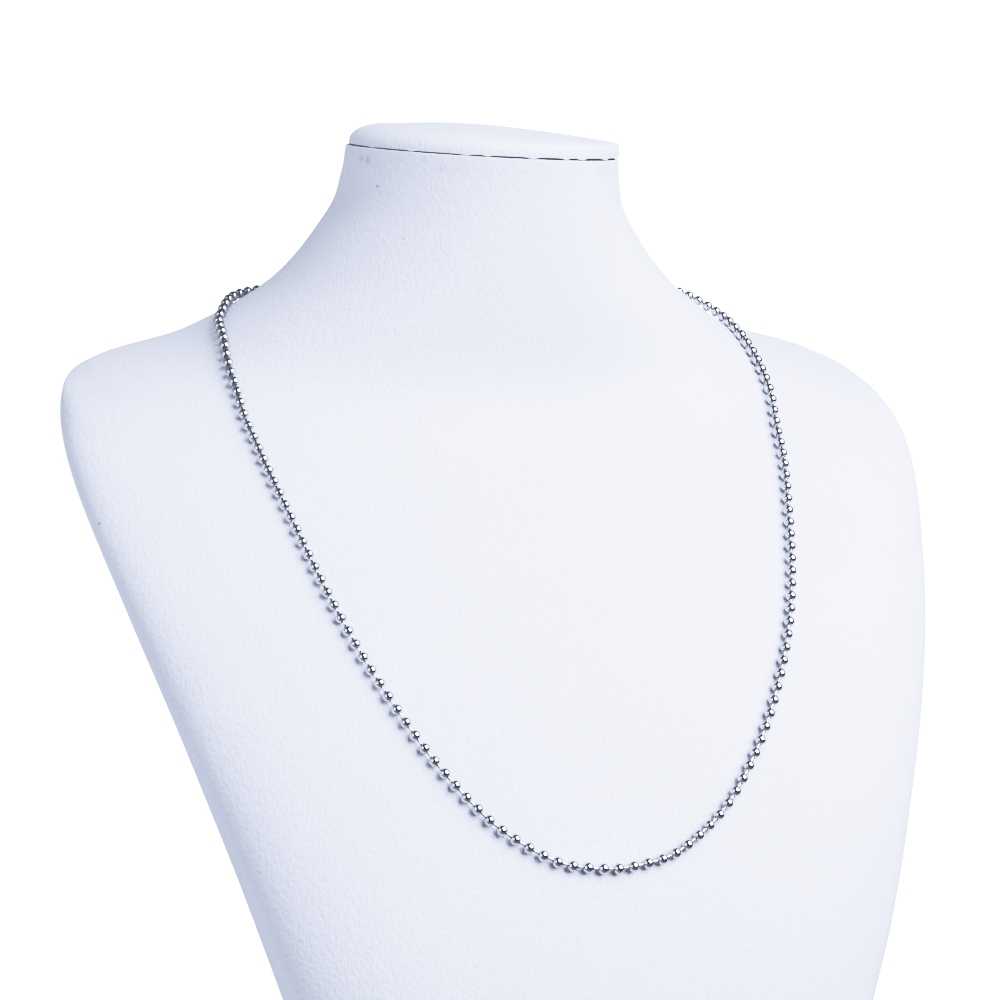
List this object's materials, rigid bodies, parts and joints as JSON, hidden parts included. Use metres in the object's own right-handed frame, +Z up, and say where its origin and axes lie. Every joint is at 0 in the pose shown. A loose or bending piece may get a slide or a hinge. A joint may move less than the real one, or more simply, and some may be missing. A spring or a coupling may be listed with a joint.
{
  "type": "ball chain necklace on a neck bust",
  "caption": "Plain ball chain necklace closed at the nape, displayed on a leatherette-covered neck bust with a flat base and a padded neck cap.",
  "frame": {"origin": "middle of the whole object's footprint on the surface that the bust's flat base stands on", "axes": "+Z up, the bust's chest faces -Y, +X to the right of someone looking at the chest; the part is mirror-symmetric about X = 0 apart from the neck's top, which falls 2.5 degrees towards +X"},
  "size_m": [0.1964, 0.152, 0.2323],
  "materials": {
    "bust_leatherette": "fine-grained white leatherette",
    "cap_leatherette": "fine-grained white leatherette, padded",
    "polished_steel": "polished silver-coloured steel",
    "clasp_steel": "polished silver-coloured steel"
  },
  "bodies": {
    "root": {"bust_body": "bust_leatherette", "neck_cap": "cap_leatherette", "ball_chain": "polished_steel", "chain_clasp": "clasp_steel"}
  },
  "joints": []
}
